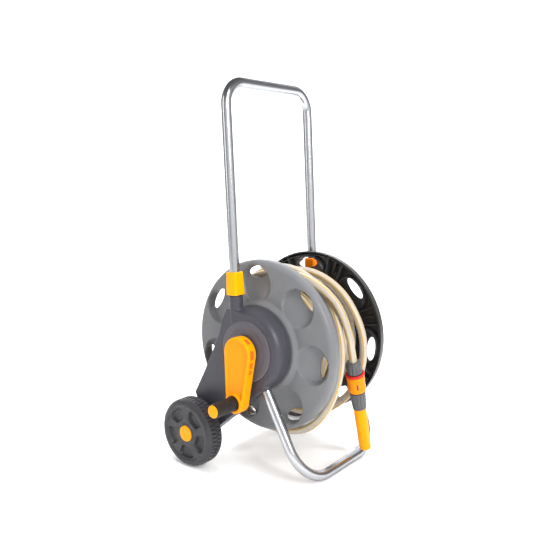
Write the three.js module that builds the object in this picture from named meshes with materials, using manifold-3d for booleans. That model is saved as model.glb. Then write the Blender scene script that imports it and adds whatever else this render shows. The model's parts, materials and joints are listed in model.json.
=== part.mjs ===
// Garden hose reel cart: two moulded side frames on a wheeled axle, a bent foot tube, a tall sliding handle,
// and a crank-driven drum with 28 m of hose that ends in a quick connector and a jet nozzle.
// Millimetres, +Z up. The crank is on the left side, at -Y, and the foot reaches out towards +X.
// Lengths called "out" are measured sideways from the drum's middle plane, so one shape serves both sides.

import * as THREE from 'three';
import { mergeVertices } from 'three/addons/utils/BufferGeometryUtils.js';
import Module from 'manifold-3d';

const wasm = await Module();
wasm.setup();

// ---------- driving dimensions ----------

const GAP = 0.3; // between touching pieces
const WALL = 3.5; // moulded side frame

const DRUM_Z = 278; // height of the drum axis
const FLANGE_R = 190;
const FLANGE_FACE = 106; // outer face of the flange's web, sideways
const FLANGE_CENTRE_FACE = 113; // raised middle of the flange
const FLANGE_WALL = 3;
const FLANGE_SEGMENTS = 35; // five to a scoop
const SKIRT_END = 84;
const SEAT_OUT = 107.5; // the flange's plateau inside the drum core
const BOSS_R = 24; // flange boss that turns in the bush
const BOSS_END = 129;
const SHAFT_R = 10;
const CORE_R = 76;
const SCOOPS = 7;
const SCOOP_TURN = -6; // degrees of the first scoop from straight up, towards +X
const SCOOP_AT_R = 140;
const SCOOP_R = 43.5;
const SCOOP_DEPTH = 20;
const SLOT_AT_R = 163;

const TUBE_R = 11;
const TUBE_BORE_R = 9.6;
const TUBE_OUT = 141; // the handle's and foot's legs, sideways
const HANDLE_LEAN = Math.atan2(22.1, 432); // backwards from upright
const HANDLE_X = -38.3; // where a handle leg is at HANDLE_X_Z
const HANDLE_X_Z = 358;
const HANDLE_LOW_Z = 318;
const HANDLE_TOP_Z = 840;
const HANDLE_BEND = 50;
const FOOT_X = 148;
const FOOT_BEND = 80;
const FOOT_SEAT = 46; // a foot leg's end, from the drum axis
const FOOT_SCREW = 66;

const FRAME_FACE = 155;
const FRAME_BACK = 122;
const HUB_BASE = 117;
const HUB_R = 91;
const COVER_R = 66.7;
const SHAFT_HOLE_R = 12;
const INLET_HOLE_R = 18;

const WHEEL_X = -132;
const WHEEL_R = 77;
const WHEEL_IN = 171;
const WHEEL_OUT = 212;
const AXLE_R = 8;
const CAP_R = 18.4;

const CRANK_IN = 162;
const CRANK_FACE = 186.5;
const GRIP_X = -8.5;
const GRIP_DROP = 109; // how far the grip's axis is below the drum's
const GRIP_R = 15.5;
const GRIP_END = 248;

const HOSE_R = 8.5;
const COIL_HALF = 81; // half the coil's width
const COIL_HIGH_R = 153; // five layers
const COIL_LOW_R = 138.3; // four layers
const COIL_STEP_Y = 33; // where the fifth layer ends
const COIL_STEP_OUT = 57; // where it starts, on the crank's side

// The hose's end hangs along this line: its nut starts at NUT_TOP and its jet tip lies towards TIP.
const NUT_TOP = new THREE.Vector3(178, -12, 256);
const TIP = new THREE.Vector3(175, 52, 39);

// The loose outer turns: [degrees from straight up towards +X, distance from the drum axis, y].
const TAIL_TURNS = [
  [-165, 150, 43], [-135, 150, 44], [-105, 150, 45], [-75, 150, 46], [-45, 150, 46.5], [-15, 150, 47],
  [15, 150.5, 47], [45, 154, 47], [75, 162, 47], [95, 169, 46], [115, 176, 41], [135, 182, 33],
  [160, 183, 23], [190, 177, 14], [220, 169, 8], [250, 165, 3], [280, 164.6, -3], [310, 164.6, -10],
  [340, 164.6, -16], [370, 164.8, -23], [400, 165, -31], [425, 165.5, -38], [450, 168.5, -44],
  [475, 181, -55], [495, 195, -66], [512, 200.5, -71], [535, 195, -71.8], [560, 185, -71.8],
  [590, 171, -71.5], [620, 158, -70.8], [650, 151.5, -70], [680, 150.8, -69.5], [705, 153.5, -67.5],
  [730, 163.5, -62], [752, 174.5, -53.5], [775, 183.5, -40.5],
];
const TAIL_STEPS = 62;
const TAIL_LEAD_IN = [60, 28, 8]; // points above the nut, on its axis

// ---------- small tools ----------

const polar = (degrees, r, y = 0) => {
  const turn = THREE.MathUtils.degToRad(degrees);
  return new THREE.Vector3(r * Math.sin(turn), y, DRUM_Z + r * Math.cos(turn));
};
const handleAt = (z, y) => {
  return new THREE.Vector3(HANDLE_X - (z - HANDLE_X_Z) * Math.tan(HANDLE_LEAN), y, z);
};
const FOOT_LENGTH = Math.hypot(FOOT_X, DRUM_Z - TUBE_R);
const footAt = (distance, y) => {
  const share = distance / FOOT_LENGTH;
  return new THREE.Vector3(FOOT_X * share, y, DRUM_Z + (TUBE_R - DRUM_Z) * share);
};

// A closed geometry as a solid, with its faces pointing out.
function solid(geometry) {
  geometry.deleteAttribute('normal');
  geometry.deleteAttribute('uv');
  const merged = mergeVertices(geometry);
  const points = merged.attributes.position;
  const index = merged.index.array;
  const corners = [new THREE.Vector3(), new THREE.Vector3(), new THREE.Vector3()];
  const kept = [];
  let volume = 0;
  for (let i = 0; i < index.length; i += 3) {
    const [a, b, c] = [index[i], index[i + 1], index[i + 2]];
    if (a === b || b === c || c === a) continue;
    kept.push(a, b, c);
    corners.forEach((corner, k) => corner.fromBufferAttribute(points, index[i + k]));
    volume += corners[0].dot(corners[1].cross(corners[2]));
  }
  if (volume < 0) kept.reverse();
  return new wasm.Manifold(new wasm.Mesh({
    numProp: 3,
    vertProperties: new Float32Array(points.array),
    triVerts: new Uint32Array(kept),
  }));
}

// A ring or disc about the Y axis from a closed outline of [radius, y] points.
function turned(outline, segments = 28) {
  const points = [...outline, outline[0]].map(([r, y]) => new THREE.Vector2(r, y));
  const onAxis = outline[0][0] === 0 && outline[outline.length - 1][0] === 0;
  if (onAxis) points.pop();
  return new THREE.LatheGeometry(points, segments);
}

const turnedAt = (x, z, outline, segments) => solid(turned(outline, segments).translate(x, 0, z));
const turnedOut = (side, x, z, outline, segments) => {
  return turnedAt(x, z, outline.map(([r, out]) => [r, side * out]), segments);
};

// A round bar between two points.
function rod(from, to, radius, segments = 14) {
  const along = to.clone().sub(from);
  const geometry = new THREE.CylinderGeometry(radius, radius, along.length(), segments);
  const turn = new THREE.Quaternion().setFromUnitVectors(new THREE.Vector3(0, 1, 0), along.normalize());
  geometry.applyQuaternion(turn);
  geometry.translate(...from.clone().add(to).multiplyScalar(0.5).toArray());
  return solid(geometry);
}

// A flat outline in the XZ plane, made thick sideways.
function slab(shape, side, inner, outer, curveSegments = 8) {
  const geometry = new THREE.ExtrudeGeometry(shape, {
    depth: outer - inner,
    bevelEnabled: false,
    curveSegments,
  });
  geometry.rotateX(Math.PI / 2);
  geometry.translate(0, side > 0 ? outer : -inner, 0);
  return geometry;
}

const outlineOf = (points) => new THREE.Shape(points.map(([x, z]) => new THREE.Vector2(x, z)));

// The same outline with each edge moved inwards; the points run anticlockwise.
function inset(points, by) {
  const edges = points.map(([x, z], i) => {
    const [nextX, nextZ] = points[(i + 1) % points.length];
    const length = Math.hypot(nextX - x, nextZ - z);
    const [dx, dz] = [(nextX - x) / length, (nextZ - z) / length];
    return { x: x - dz * by, z: z + dx * by, dx, dz };
  });
  return edges.map((edge, i) => {
    const before = edges[(i + edges.length - 1) % edges.length];
    const cross = before.dx * edge.dz - before.dz * edge.dx;
    if (Math.abs(cross) < 1e-6) return [edge.x, edge.z];
    const along = ((edge.x - before.x) * edge.dz - (edge.z - before.z) * edge.dx) / cross;
    return [before.x + before.dx * along, before.z + before.dz * along];
  });
}

function block(x, y, z, sizeX, sizeY, sizeZ) {
  return new THREE.BoxGeometry(sizeX, sizeY, sizeZ).translate(x, y, z);
}

// A path with a section at each given point and nowhere else.
class PointPath extends THREE.Curve {
  constructor(points) {
    super();
    this.points = points;
  }

  getPointAt(u) {
    return this.points[Math.round(u * (this.points.length - 1))].clone();
  }

  getTangentAt(u) {
    const i = Math.round(u * (this.points.length - 1));
    const before = this.points[Math.max(i - 1, 0)];
    const at = this.points[i];
    const after = this.points[Math.min(i + 1, this.points.length - 1)];
    const arriving = at.clone().sub(before).normalize();
    return arriving.add(after.clone().sub(at).normalize()).normalize();
  }
}

// A bent tube whose corners are rounded to one radius.
function bentTube(corners, bend, bendSteps = 6) {
  const points = [corners[0]];
  for (let i = 1; i < corners.length - 1; i += 1) {
    const toBefore = corners[i - 1].clone().sub(corners[i]).normalize();
    const toAfter = corners[i + 1].clone().sub(corners[i]).normalize();
    const half = toBefore.angleTo(toAfter) / 2;
    const middle = toBefore.clone().add(toAfter).normalize();
    const centre = corners[i].clone().addScaledVector(middle, bend / Math.sin(half));
    const start = corners[i].clone().addScaledVector(toBefore, bend / Math.tan(half)).sub(centre);
    const axis = toAfter.clone().cross(toBefore).normalize();
    for (let step = 0; step <= bendSteps; step += 1) {
      const turn = (Math.PI - 2 * half) * (step / bendSteps);
      points.push(start.clone().applyAxisAngle(axis, turn).add(centre));
    }
  }
  points.push(corners[corners.length - 1]);
  const section = new THREE.Shape().absarc(0, 0, TUBE_R, 0, 2 * Math.PI);
  section.holes.push(new THREE.Path().absarc(0, 0, TUBE_BORE_R, 0, 2 * Math.PI, true));
  return solid(new THREE.ExtrudeGeometry(section, {
    steps: points.length - 1,
    curveSegments: 6,
    extrudePath: new PointPath(points),
  }));
}

// ---------- the group ----------

// The cart stands with its origin on the ground, under the middle of its box.
const boxMiddle = (low, high) => (low + high) / 2;
const cart = new THREE.Group();
cart.position.set(
  -boxMiddle(WHEEL_X - WHEEL_R, FLANGE_R),
  -boxMiddle(-GRIP_END - 3, WHEEL_OUT + 2),
  0,
);

const finish = (color, roughness, metalness = 0) => ({ color, roughness, metalness });
const CHARCOAL = finish(0x55545c, 0.55);
const BLACK = finish(0x2a282a, 0.6);
const GREY = finish(0x87898c, 0.45);
const YELLOW = finish(0xfcb419, 0.4);
const ORANGE = finish(0xf7a01e, 0.4);
const RED = finish(0xe13223, 0.4);
const TUBE_METAL = finish(0xc8cacd, 0.3, 0.9);
const STEEL = finish(0xb4b6ba, 0.35, 1);
const RUBBER = finish(0x1c1c1e, 0.8);
const HOSE = finish(0xe1d7b9, 0.5);

function add(name, shape, look) {
  const { vertProperties, triVerts } = shape.getMesh();
  const geometry = new THREE.BufferGeometry();
  geometry.setAttribute('position', new THREE.BufferAttribute(new Float32Array(vertProperties), 3));
  geometry.setIndex(new THREE.BufferAttribute(new Uint32Array(triVerts), 1));
  geometry.computeVertexNormals();
  const mesh = new THREE.Mesh(geometry, new THREE.MeshStandardMaterial(look));
  mesh.name = name;
  cart.add(mesh);
}

const SIDES = [['left', -1], ['right', 1]];

// ---------- side frames ----------

const FRAME_OUTLINE = [
  [-24, 362], [-55, 362], [-61, 352], [-68, 338], [-77, 310], [-88, 284], [-101, 259],
  [-128, 207], [-158, 154], [-152, 142], [-157, 88], [-150, 66], [-132, 57], [-114, 63],
  [45, 200], [60, 240], [10, 350],
];
const hubOutline = (r, base, face) => [
  [0, base], [r, base], [r, base + 5], [r - 3, face - 15], [r - 7, face - 4], [r - 11, face], [0, face],
];

function sideFrame(side) {
  const hub = (r, base, face) => turnedOut(side, 0, DRUM_Z, hubOutline(r, base, face));
  const barOut = (x, z, inner, outer, radius) => {
    return rod(new THREE.Vector3(x, side * inner, z), new THREE.Vector3(x, side * outer, z), radius);
  };
  const y = side * TUBE_OUT;
  const outside = solid(slab(outlineOf(FRAME_OUTLINE), side, FRAME_BACK, FRAME_FACE))
    .add(hub(HUB_R, HUB_BASE, FRAME_FACE));
  const inside = solid(slab(outlineOf(inset(FRAME_OUTLINE, WALL)), side, HUB_BASE - 2, FRAME_FACE - WALL))
    .add(hub(HUB_R - WALL, HUB_BASE - 2, FRAME_FACE - WALL));
  const bearing = turnedOut(side, 0, DRUM_Z, [
    [28.3, 118], [33, 118], [33, FRAME_FACE - 2], [28.3, FRAME_FACE - 2],
  ]);
  const screwAt = footAt(FOOT_SCREW, 0);
  return outside.subtract(inside)
    .add(bearing)
    .add(rod(handleAt(296, y), handleAt(392, y), 14.5))
    .add(rod(footAt(FOOT_SEAT - 2, y), footAt(HUB_R + 4, y), 14.5))
    .add(barOut(WHEEL_X, WHEEL_R, FRAME_BACK, WHEEL_IN - 2, 16))
    .subtract(rod(handleAt(155, y), handleAt(400, y), TUBE_R + 0.35))
    .subtract(rod(footAt(FOOT_SEAT - 0.5, y), footAt(FOOT_SEAT + 90, y), TUBE_R + GAP))
    .subtract(barOut(WHEEL_X, WHEEL_R, FRAME_BACK - 1, WHEEL_IN, AXLE_R + GAP))
    .subtract(barOut(0, DRUM_Z, FRAME_FACE - 5, FRAME_FACE + 1, side < 0 ? SHAFT_HOLE_R : INLET_HOLE_R))
    .subtract(turnedOut(side, 0, DRUM_Z, [
      [0, FRAME_FACE - 1.5], [COVER_R + GAP, FRAME_FACE - 1.5], [COVER_R + GAP, FRAME_FACE + 1], [0, FRAME_FACE + 1],
    ]))
    .subtract(barOut(screwAt.x, screwAt.z, FRAME_BACK, TUBE_OUT, 2.4));
}

function hubCover(side) {
  const hole = side < 0 ? SHAFT_HOLE_R : INLET_HOLE_R;
  return turnedOut(side, 0, DRUM_Z, [
    [hole, FRAME_FACE - 1.2], [COVER_R, FRAME_FACE - 1.2], [COVER_R, FRAME_FACE + 0.5],
    [COVER_R - 2, FRAME_FACE + 2], [hole, FRAME_FACE + 2.6],
  ]);
}

// A square collar, a little wider at its foot, that grips a handle leg above the frame's neck.
function collar(side) {
  const [low, height, half, corner] = [393.5, 50, 15.6, 5];
  const section = new THREE.Shape();
  section.moveTo(-half + corner, -half);
  section.lineTo(half - corner, -half);
  section.absarc(half - corner, -half + corner, corner, -Math.PI / 2, 0);
  section.absarc(half - corner, half - corner, corner, 0, Math.PI / 2);
  section.absarc(-half + corner, half - corner, corner, Math.PI / 2, Math.PI);
  section.absarc(-half + corner, -half + corner, corner, Math.PI, 1.5 * Math.PI);
  const geometry = new THREE.ExtrudeGeometry(section, { depth: height, bevelEnabled: false, curveSegments: 4 });
  const points = geometry.attributes.position;
  for (let i = 0; i < points.count; i += 1) {
    const narrowing = 1 - 0.09 * (points.getZ(i) / height);
    points.setXY(i, points.getX(i) * narrowing, points.getY(i) * narrowing);
  }
  geometry.rotateY(-HANDLE_LEAN);
  geometry.translate(...handleAt(low, side * TUBE_OUT).toArray());
  const y = side * TUBE_OUT;
  return solid(geometry).subtract(rod(handleAt(low - 20, y), handleAt(low + height + 20, y), TUBE_R + GAP));
}

for (const [name, side] of SIDES) {
  const screw = footAt(FOOT_SCREW, 0);
  add(`${name}_side_frame`, sideFrame(side), CHARCOAL);
  add(`${name}_hub_cover`, hubCover(side), CHARCOAL);
  add(`${name}_collar`, collar(side), YELLOW);
  add(`${name}_bush`, turnedOut(side, 0, DRUM_Z, [
    [BOSS_R + GAP, 118.5], [28, 118.5], [28, BOSS_END - 0.3], [BOSS_R + GAP, BOSS_END - 0.3],
  ]), BLACK);
  add(`${name}_foot_screw`, turnedOut(side, screw.x, screw.z, [
    [0, 123], [4.2, 123], [4.2, 126], [2, 126], [2, 136], [0, 137.5],
  ], 12), STEEL);
}

// ---------- tubes ----------

const handleCorners = [
  handleAt(HANDLE_LOW_Z, -TUBE_OUT), handleAt(HANDLE_TOP_Z, -TUBE_OUT),
  handleAt(HANDLE_TOP_Z, TUBE_OUT), handleAt(HANDLE_LOW_Z, TUBE_OUT),
];
add('handle_tube', bentTube(handleCorners, HANDLE_BEND), TUBE_METAL);

let foot = bentTube([
  footAt(FOOT_SEAT, -TUBE_OUT), footAt(FOOT_LENGTH, -TUBE_OUT),
  footAt(FOOT_LENGTH, TUBE_OUT), footAt(FOOT_SEAT, TUBE_OUT),
], FOOT_BEND);
for (const [, side] of SIDES) {
  foot = foot.subtract(rod(footAt(FOOT_SCREW, side * 120), footAt(FOOT_SCREW, side * TUBE_OUT), 2.4, 12));
}
add('foot_tube', foot, TUBE_METAL);

// A plastic plug in the end of each handle leg.
for (const [name, side] of SIDES) {
  const end = handleAt(HANDLE_LOW_Z, side * TUBE_OUT);
  const up = handleAt(HANDLE_LOW_Z + 100, side * TUBE_OUT).sub(end).normalize();
  const along = (distance) => end.clone().addScaledVector(up, distance);
  const plug = rod(along(-3.3), along(-GAP), TUBE_R - 0.2).add(rod(along(-1), along(12), TUBE_BORE_R - 0.4));
  add(`${name}_handle_plug`, plug, BLACK);
}

// ---------- axle and wheels ----------

const AXLE_END = 208.5;
add('axle', rod(
  new THREE.Vector3(WHEEL_X, -AXLE_END, WHEEL_R),
  new THREE.Vector3(WHEEL_X, AXLE_END, WHEEL_R),
  AXLE_R,
), STEEL);

// A kidney-shaped pocket in the wheel's face.
function pocket(side, degrees) {
  const [low, high, spread, cornerTurn] = [32, 57, 24, 5];
  const at = (r, turn) => {
    const angle = THREE.MathUtils.degToRad(degrees + turn);
    return [WHEEL_X + r * Math.sin(angle), WHEEL_R + r * Math.cos(angle)];
  };
  const outer = [-1, -0.5, 0, 0.5, 1].map((share) => at(high, share * (spread - cornerTurn)));
  const inner = [1, 0, -1].map((share) => at(low, share * (spread - 2 * cornerTurn)));
  const points = [...outer, at(high - 6, spread), at(low + 6, spread - 3), ...inner,
    at(low + 6, 3 - spread), at(high - 6, -spread)];
  return solid(slab(outlineOf(points), side, WHEEL_OUT - 7, WHEEL_OUT));
}

function wheel(side) {
  let body = turnedOut(side, WHEEL_X, WHEEL_R, [
    [AXLE_R + 0.35, WHEEL_IN], [18, WHEEL_IN], [19, 186], [58, 188], [66, WHEEL_IN], [74, WHEEL_IN + 0.5],
    [WHEEL_R, WHEEL_IN + 4], [WHEEL_R, 202], [75, 208], [70, 212.5], [65, WHEEL_OUT + 2], [61.5, 213],
    [60, WHEEL_OUT - 1], [CAP_R + 0.5, WHEEL_OUT - 1], [CAP_R + 0.5, 206], [AXLE_R + 0.35, 206],
  ], 32);
  for (let i = 0; i < 5; i += 1) {
    body = body.subtract(pocket(side, 36 + i * 72));
  }
  return body;
}

for (const [name, side] of SIDES) {
  add(`${name}_wheel`, wheel(side), CHARCOAL);
  add(`${name}_axle_clip`, turnedOut(side, WHEEL_X, WHEEL_R, [
    [AXLE_R + 0.1, 206.4], [14, 206.4], [14, 207.4], [AXLE_R + 0.1, 207.4],
  ], 20), STEEL);
  add(`${name}_hub_cap`, turnedOut(side, WHEEL_X, WHEEL_R, [
    [0, AXLE_END + 0.5], [CAP_R, AXLE_END + 0.5], [CAP_R, 212.5], [CAP_R - 1.5, 213.6], [0, WHEEL_OUT + 2],
  ], 28), YELLOW);
}

// ---------- drum ----------

// A round well cut into the flange's face, with a floor that slopes deeper away from the axis.
function well(side, degrees, radius, faceOut, floorOut) {
  const middle = polar(degrees, SCOOP_AT_R);
  const turn = THREE.MathUtils.degToRad(degrees);
  const geometry = new THREE.CylinderGeometry(radius, radius, 2, 12);
  const points = geometry.attributes.position;
  for (let i = 0; i < points.count; i += 1) {
    const across = points.getX(i) * Math.sin(turn) + points.getZ(i) * Math.cos(turn);
    const floor = floorOut - SCOOP_DEPTH * (across + SCOOP_R) / (2 * SCOOP_R);
    points.setY(i, side * (points.getY(i) > 0 ? faceOut : floor));
  }
  return solid(geometry.translate(middle.x, 0, middle.z));
}

function slot(side, degrees) {
  const middle = polar(degrees, SLOT_AT_R);
  const oval = new THREE.Shape().absellipse(
    middle.x, middle.z, 29, 14, 0, 2 * Math.PI, false, -THREE.MathUtils.degToRad(degrees),
  );
  return solid(slab(oval, side, 78, FLANGE_FACE + 2, 5));
}

function rib(side, degrees) {
  const geometry = block(0, side * 96, 142, 3, 15, 86);
  geometry.rotateY(THREE.MathUtils.degToRad(degrees));
  return solid(geometry.translate(0, 0, DRUM_Z));
}

function flange(side) {
  const inner = FLANGE_FACE - FLANGE_WALL;
  const centreInner = FLANGE_CENTRE_FACE - FLANGE_WALL;
  let body = turnedOut(side, 0, DRUM_Z, [
    [SHAFT_R + GAP, BOSS_END], [BOSS_R, BOSS_END], [BOSS_R, FLANGE_CENTRE_FACE], [96, FLANGE_CENTRE_FACE],
    [103, FLANGE_FACE], [181, FLANGE_FACE], [188, 101.5], [FLANGE_R, 95], [FLANGE_R, SKIRT_END],
    [187, SKIRT_END], [186, 98], [178, inner], [104, inner], [97, centreInner],
    [CORE_R - 3 - GAP, centreInner], [CORE_R - 3 - GAP, SEAT_OUT], [SHAFT_R + GAP, SEAT_OUT],
  ], FLANGE_SEGMENTS);
  const turns = Array.from({ length: SCOOPS }, (_, i) => SCOOP_TURN + i * 360 / SCOOPS);
  for (const turn of turns) {
    body = body.add(well(side, turn, SCOOP_R + FLANGE_WALL, FLANGE_FACE - 0.2, FLANGE_FACE - FLANGE_WALL));
    body = body.add(rib(side, turn + 180 / SCOOPS));
  }
  for (const turn of turns) {
    body = body.subtract(well(side, turn, SCOOP_R, FLANGE_FACE + 2, FLANGE_FACE));
    body = body.subtract(slot(side, turn));
  }
  return body;
}

for (const [name, side] of SIDES) {
  add(`${name}_flange`, flange(side), side < 0 ? GREY : BLACK);
}

const CORE_HALF = FLANGE_CENTRE_FACE - FLANGE_WALL - GAP;
const OUTLET_Y = 48;
const OUTLET_TURN = 180;
add('drum_core', turnedAt(0, DRUM_Z, [
  [CORE_R - 3, -CORE_HALF], [CORE_R, -CORE_HALF], [CORE_R, CORE_HALF], [CORE_R - 3, CORE_HALF],
], FLANGE_SEGMENTS).subtract(rod(polar(OUTLET_TURN, 60, OUTLET_Y), polar(OUTLET_TURN, 90, OUTLET_Y), 9.5)), BLACK);

const squareEnd = solid(block(0, -(158 + 177) / 2, DRUM_Z, 13, 21, 13));
add('drive_shaft', turnedOut(-1, 0, DRUM_Z, [
  [0, 102], [18, 102], [18, SEAT_OUT - GAP], [SHAFT_R, SEAT_OUT - GAP], [SHAFT_R, 158], [0, 158],
], 20).add(squareEnd), STEEL);

// The water comes in through the right end of the drum's axis and goes down to the hose's inner end.
add('water_spindle', turnedAt(0, DRUM_Z, [
  [0, 34], [SHAFT_R - 0.1, 34], [SHAFT_R - 0.1, 160], [0, 160],
], 24)
  .add(rod(polar(OUTLET_TURN, 0, OUTLET_Y), polar(OUTLET_TURN, 66, OUTLET_Y), 7.5))
  .subtract(turnedAt(0, DRUM_Z, [[0, 42], [5.5, 42], [5.5, 162], [0, 162]], 16))
  .subtract(rod(polar(OUTLET_TURN, 0, OUTLET_Y), polar(OUTLET_TURN, 68, OUTLET_Y), 4.5, 12)), BLACK);
add('inner_hose_nut', rod(polar(OUTLET_TURN, 44, OUTLET_Y), polar(OUTLET_TURN, 70, OUTLET_Y), 14)
  .subtract(rod(polar(OUTLET_TURN, 40, OUTLET_Y), polar(OUTLET_TURN, 75, OUTLET_Y), 7.8)), GREY);

add('inlet_seal', turnedAt(0, DRUM_Z, [
  [SHAFT_R + 0.1, 150], [13, 150], [13, 153], [SHAFT_R + 0.1, 153],
], 20), RUBBER);
const INLET_Y = 173;
add('inlet_elbow', turnedAt(0, DRUM_Z, [[0, 141], [17, 141], [17, 184], [0, 186]], 20)
  .add(rod(polar(180, 0, INLET_Y), polar(180, 52, INLET_Y), 9))
  .add(rod(polar(180, 34, INLET_Y), polar(180, 40, INLET_Y), 13))
  .subtract(turnedAt(0, DRUM_Z, [
    [0, 139], [SHAFT_R + 0.2, 139], [SHAFT_R + 0.2, 149.7], [13.3, 149.7], [13.3, 153.3],
    [SHAFT_R + 0.2, 153.3], [SHAFT_R + 0.2, 161], [6, 162], [6, 180], [0, 180],
  ], 20))
  .subtract(rod(polar(180, 0, INLET_Y), polar(180, 60, INLET_Y), 5.5, 12)), YELLOW);

// ---------- crank ----------

const GRIP_Z = DRUM_Z - GRIP_DROP;
const CRANK_TOP_R = 35.5;
const CRANK_LOW_R = 23.5;
const CRANK_LEAN = Math.asin((CRANK_TOP_R - CRANK_LOW_R) / Math.hypot(GRIP_X, GRIP_DROP));
const CRANK_TILT = Math.atan2(-GRIP_X, GRIP_DROP);

function crankOutline(grow) {
  const shape = new THREE.Shape();
  const right = -CRANK_LEAN - CRANK_TILT;
  const left = Math.PI + CRANK_LEAN - CRANK_TILT;
  shape.absarc(0, DRUM_Z, CRANK_TOP_R + grow, right, left);
  shape.absarc(GRIP_X, GRIP_Z, CRANK_LOW_R + grow, left, right + 2 * Math.PI);
  return shape;
}

// Four slots in the crank's edge, by their turn from straight up, their middle, length and width.
const CRANK_SLOTS = [
  [37, 21.4, 28.4, 12, 9], [88, 35.5, 1.2, 18, 11], [100.8, 32.1, -21.4, 12, 9], [100.8, 29.1, -37.1, 9, 7],
];
const crankSlots = CRANK_SLOTS.map(([degrees, x, up, long, wide]) => {
  const geometry = block(0, 0, 0, long, wide, 6);
  geometry.rotateY(THREE.MathUtils.degToRad(degrees));
  return solid(geometry.translate(x, -(CRANK_IN + CRANK_FACE) / 2, DRUM_Z + up));
});

const gripRing = [[17, 183], [21.8, 183], [21.8, 187.6], [20, 189], [17, 189]];
let crank = solid(slab(crankOutline(0), -1, CRANK_IN, CRANK_FACE))
  .add(turnedOut(-1, 0, DRUM_Z, [[0, 158.5], [14, 158.5], [14, 170], [0, 170]], 24))
  .subtract(solid(slab(crankOutline(-5), -1, CRANK_FACE - 2, CRANK_FACE + 1)))
  .add(turnedOut(-1, GRIP_X, GRIP_Z, gripRing, 24))
  .subtract(solid(block(0, -(157 + 178.6) / 2, DRUM_Z, 13.6, 21.6, 13.6)))
  .subtract(turnedOut(-1, GRIP_X, GRIP_Z, [[0, 160], [4.3, 160], [4.3, 190], [0, 190]], 16));
for (const slot of crankSlots) {
  crank = crank.subtract(slot);
}
add('crank_arm', crank, YELLOW);
add('grip_pin', turnedOut(-1, GRIP_X, GRIP_Z, [
  [0, 165], [4, 165], [4, GRIP_END - 9], [8, GRIP_END - 9], [8, GRIP_END - 6], [0, GRIP_END - 6],
], 16), STEEL);
add('crank_grip', turnedOut(-1, GRIP_X, GRIP_Z, [
  [4.35, 184.9], [GRIP_R - 1, 184.9], [GRIP_R, 187], [GRIP_R, GRIP_END - 3], [GRIP_R - 1, GRIP_END],
  [13.8, GRIP_END], [13.8, GRIP_END - 2.5], [8.6, GRIP_END - 2.5], [8.6, GRIP_END - 9.5], [4.35, GRIP_END - 9.5],
], 20), BLACK);
add('grip_cap', turnedOut(-1, GRIP_X, GRIP_Z, [
  [0, GRIP_END - 2.1], [13.4, GRIP_END - 2.1], [13.4, GRIP_END + 1.5], [11, GRIP_END + 2.8], [0, GRIP_END + 3],
], 20), YELLOW);

// ---------- hose ----------

add('hose_coil', turnedAt(0, DRUM_Z, [
  [CORE_R + GAP, -COIL_HALF], [COIL_LOW_R, -COIL_HALF], [COIL_LOW_R, -COIL_STEP_OUT],
  [COIL_HIGH_R, -COIL_STEP_OUT], [COIL_HIGH_R, COIL_STEP_Y],
  [COIL_LOW_R, COIL_STEP_Y], [COIL_LOW_R, COIL_HALF], [CORE_R + GAP, COIL_HALF],
], FLANGE_SEGMENTS), HOSE);

const hang = TIP.clone().sub(NUT_TOP).normalize();
const hangAt = (distance) => NUT_TOP.clone().addScaledVector(hang, distance);
const NUT_DEPTH = 12;
const tailPoints = [
  ...TAIL_TURNS.map(([degrees, r, y]) => polar(degrees, r, y)),
  ...TAIL_LEAD_IN.map((above) => hangAt(-above)),
  hangAt(NUT_DEPTH - 0.5),
];
const hoseSection = new THREE.Shape().absarc(0, 0, HOSE_R, 0, 2 * Math.PI);
add('hose_tail', solid(new THREE.ExtrudeGeometry(hoseSection, {
  steps: TAIL_STEPS,
  curveSegments: 4,
  extrudePath: new THREE.CatmullRomCurve3(tailPoints),
})), HOSE);

// Pieces on the hose's end: [radius, distance down from the nut's top].
function onHose(outline, segments = 18) {
  const geometry = turned(outline, segments);
  geometry.applyQuaternion(new THREE.Quaternion().setFromUnitVectors(new THREE.Vector3(0, 1, 0), hang));
  return solid(geometry.translate(...NUT_TOP.toArray()));
}

add('hose_nut', onHose([
  [0, NUT_DEPTH], [HOSE_R + GAP, NUT_DEPTH], [HOSE_R + GAP, 0], [13.5, 0], [15.5, 3], [17, 8], [17, 27], [0, 27],
]), GREY);
add('connector_core', onHose([
  [0, 27.3], [14.4, 27.3], [14.4, 74], [9, 74], [9, 44], [0, 44],
]), BLACK);
add('connector_ring', onHose([[17.4, 28], [20.6, 28], [20.6, 34], [17.4, 34]], 20), RED);
add('connector_sleeve', onHose([
  [14.8, 34.3], [20.3, 34.3], [20.3, 68], [18.6, 73.6], [14.8, 73.6],
], 20), ORANGE);
add('nozzle_coupling', onHose([
  [4.5, 48], [8.6, 48], [8.6, 75.6], [17.4, 75.6], [17.4, 83], [15.4, 117], [7.5, 117], [7.5, 150], [4.5, 150],
]), GREY);
add('nozzle_barrel', onHose([
  [7.9, 117.3], [14.2, 117.3], [13.1, 226], [9, 226], [5, 215], [5, 193], [7.9, 168],
]), YELLOW);

export default cart;
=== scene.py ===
import json
import math

import bmesh
import bpy
import numpy as np
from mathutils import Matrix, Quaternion, Vector


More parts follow.
